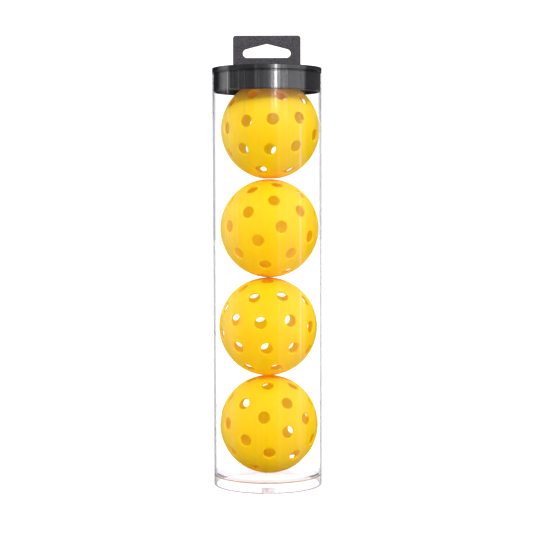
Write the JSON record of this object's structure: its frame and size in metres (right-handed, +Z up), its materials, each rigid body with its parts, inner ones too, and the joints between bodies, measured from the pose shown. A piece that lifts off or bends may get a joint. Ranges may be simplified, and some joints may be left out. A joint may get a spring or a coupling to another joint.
{
  "type": "tube of pickleballs",
  "caption": "Clear upright tube with a black hang-tab lid, holding a column of perforated yellow pickleballs on a clear base plug.",
  "frame": {"origin": "centre of the tube's foot, on the surface it stands on", "axes": "+Z up the tube, the hang tab's flat faces point to -Y and +Y, +X to the right seen from the front"},
  "size_m": [0.082, 0.082, 0.3378],
  "materials": {
    "tube": "clear extruded plastic",
    "base_plug": "clear moulded plastic",
    "lid": "black, polished mould",
    "hang_tab": "black, fine spark texture",
    "ball": "satin yellow polyethylene"
  },
  "bodies": {
    "tube": {"tube": "tube", "base_plug": "base_plug"},
    "ball_4": {"ball_4": "ball"},
    "ball_3": {"ball_3": "ball"},
    "ball_2": {"ball_2": "ball"},
    "ball_1": {"ball_1": "ball"},
    "lid": {"lid": "lid"},
    "hang_tab": {"hang_tab": "hang_tab"}
  },
  "joints": [
    {"name": "ball_4_lift", "type": "slide", "parent": "tube", "child": "ball_4", "axis": [0, 0, 1], "range_m": [0, 0.305]},
    {"name": "ball_3_lift", "type": "slide", "parent": "ball_4", "child": "ball_3", "axis": [0, 0, 1], "range_m": [0, 0.23]},
    {"name": "ball_2_lift", "type": "slide", "parent": "ball_3", "child": "ball_2", "axis": [0, 0, 1], "range_m": [0, 0.156]},
    {"name": "ball_1_lift", "type": "slide", "parent": "ball_2", "child": "ball_1", "axis": [0, 0, 1], "range_m": [0, 0.082]},
    {"name": "lid_lift", "type": "slide", "parent": "ball_1", "child": "lid", "axis": [0, 0, 1], "range_m": [0, 0.05]},
    {"name": "tab_fold", "type": "hinge", "parent": "lid", "child": "hang_tab", "pos_m": [0, 0, 0.3123], "axis": [1, 0, 0], "range_deg": [-90, 90]}
  ]
}
